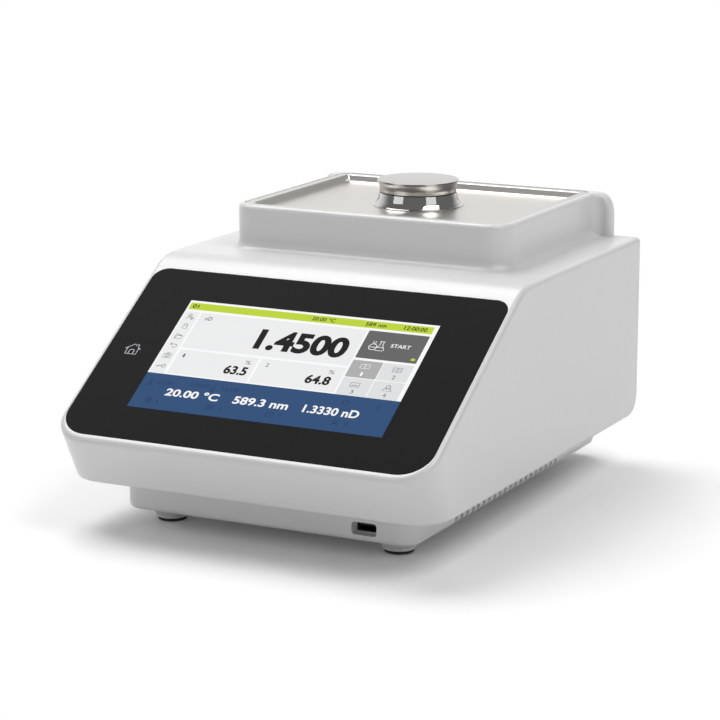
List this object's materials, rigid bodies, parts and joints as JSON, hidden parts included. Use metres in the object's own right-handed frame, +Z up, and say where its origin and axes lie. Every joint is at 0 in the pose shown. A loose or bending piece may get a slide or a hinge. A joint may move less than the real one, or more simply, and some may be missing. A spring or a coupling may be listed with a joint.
{
  "type": "benchtop refractometer",
  "caption": "Benchtop refractometer: wedge housing with an inclined touch display, a raised steel sample tray and a lift-off cover over its prism, with power and data sockets at the rear.",
  "frame": {"origin": "on the table under the middle of the bounding box, at the underside of the foot pads", "axes": "+X to the user's right, +Y from the display to the rear wall, +Z up"},
  "size_m": [0.225, 0.294, 0.1711],
  "materials": {
    "shell_white": "fine-textured white moulding",
    "base_grey": "light grey moulding",
    "glass_black": "glossy black-backed cover glass",
    "display": "display module",
    "bracket_steel": "zinc-plated sheet",
    "screw_steel": "plated screws",
    "key_foil": "sensor foil",
    "tray_steel": "fine satin stainless steel",
    "ring_steel": "polished stainless steel",
    "prism_glass": "clear polished prism",
    "seal_black": "elastomer",
    "cover_steel": "turned satin stainless steel",
    "block_metal": "machined block",
    "ceramic": "ceramic plates",
    "sink_metal": "extruded fins",
    "tube_black": "black anodised",
    "lens_glass": "clear lens",
    "board_green": "circuit board",
    "chip_black": "components",
    "led_amber": "light-emitting diode",
    "probe_steel": "sensor sleeve",
    "fan_black": "moulded fan",
    "panel_grey": "powder-coated sheet",
    "inlet_black": "moulded inlet",
    "pin_metal": "nickel-plated brass",
    "switch_black": "moulded switch",
    "socket_steel": "stamped shell",
    "foot_rubber": "soft pad"
  },
  "bodies": {
    "instrument": {"upper_housing": "shell_white", "base_housing": "base_grey", "foot_pads": "foot_rubber", "case_screws": "screw_steel", "cover_glass": "glass_black", "display_module": "display", "display_bracket": "bracket_steel", "display_screws": "screw_steel", "home_key_sensor": "key_foil", "sample_plate": "tray_steel", "prism_ring": "ring_steel", "prism": "prism_glass", "prism_seal": "seal_black", "measuring_block": "block_metal", "optics_tube": "tube_black", "objective_lens": "lens_glass", "sensor_board": "board_green", "lamp_holder": "tube_black", "light_source": "led_amber", "temperature_probe": "probe_steel", "peltier_modules": "ceramic", "heat_sink": "sink_metal", "sink_screws": "screw_steel", "fan_frame": "fan_black", "fan_screws": "screw_steel", "front_usb_socket": "socket_steel", "front_usb_board": "board_green", "main_board": "board_green", "main_board_chips": "chip_black", "power_board": "board_green", "power_parts": "chip_black", "board_screws": "screw_steel", "rear_panel": "panel_grey", "panel_screws": "screw_steel", "power_inlet": "inlet_black", "inlet_pins": "pin_metal", "switch_frame": "switch_black", "interface_board": "board_green", "network_socket": "socket_steel", "rear_usb_socket_a": "socket_steel", "rear_usb_socket_b": "socket_steel", "serial_socket": "socket_steel"},
    "cover": {"sample_cover": "cover_steel", "cover_seal": "seal_black"},
    "fan": {"fan_rotor": "fan_black"},
    "rocker": {"switch_rocker": "switch_black"}
  },
  "joints": [
    {"name": "cover_lift", "type": "slide", "parent": "instrument", "child": "cover", "axis": [0, 0, 1], "range_m": [0, 0.06]},
    {"name": "fan_spin", "type": "hinge", "parent": "instrument", "child": "fan", "pos_m": [0, 0.126, 0.0885], "axis": [0, 1, 0], "continuous": true},
    {"name": "switch_rock", "type": "hinge", "parent": "instrument", "child": "rocker", "pos_m": [0.064, 0.1413, 0.092], "axis": [1, 0, 0], "range_deg": [-16, 0]}
  ]
}
